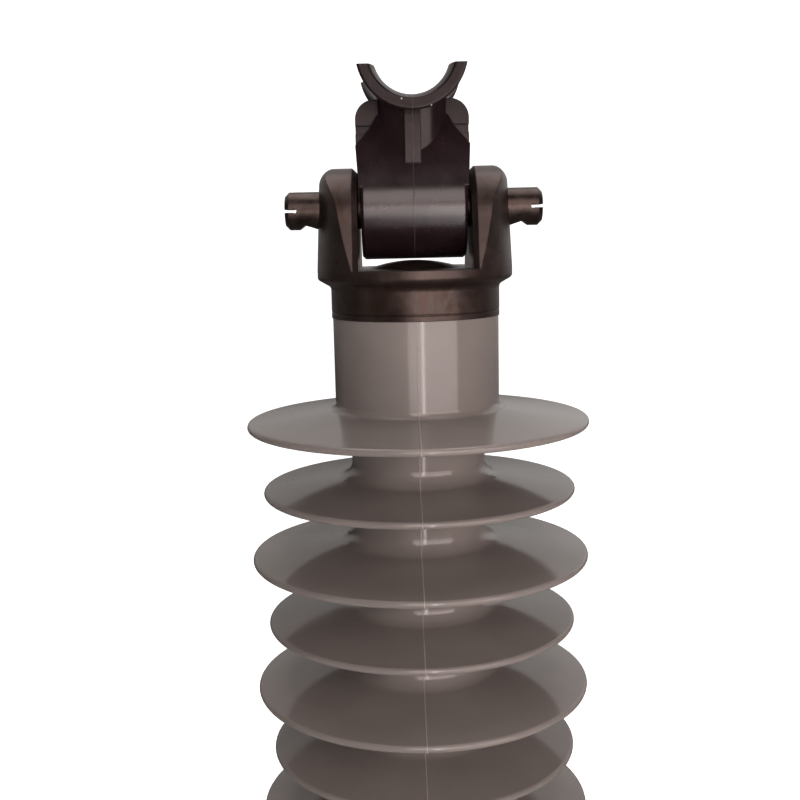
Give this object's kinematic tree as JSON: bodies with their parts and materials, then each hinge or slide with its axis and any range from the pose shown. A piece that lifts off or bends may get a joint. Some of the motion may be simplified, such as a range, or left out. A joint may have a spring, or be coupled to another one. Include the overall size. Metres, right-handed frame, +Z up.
{
  "type": "composite line post insulator",
  "caption": "Composite line post insulator with alternating sheds and a pivoting saddle head in a cast fork.",
  "frame": {"origin": "centre of the foot's underside, which the insulator stands on", "axes": "+Z up along the rod, towards the saddle; the hinge pin lies along X and the conductor groove along Y at rest"},
  "size_m": [0.15, 0.15, 0.5181],
  "materials": {
    "rod": "glass-fibre reinforced epoxy, satin",
    "rubber": "moulded silicone rubber, satin",
    "cast_metal": "cast and coated, satin",
    "pin_metal": "turned, dark, satin",
    "head_plastic": "moulded polymer, semi-gloss"
  },
  "bodies": {
    "insulator": {"core_rod": "rod", "rubber_housing": "rubber", "base_cap": "cast_metal", "fork_cap": "cast_metal", "hinge_pin": "pin_metal"},
    "head": {"saddle_head": "head_plastic"}
  },
  "joints": [
    {"name": "head_swing", "type": "hinge", "parent": "insulator", "child": "head", "pos_m": [0, 0, 0.46213], "axis": [1, 0, 0], "range_deg": [-60, 60]}
  ]
}
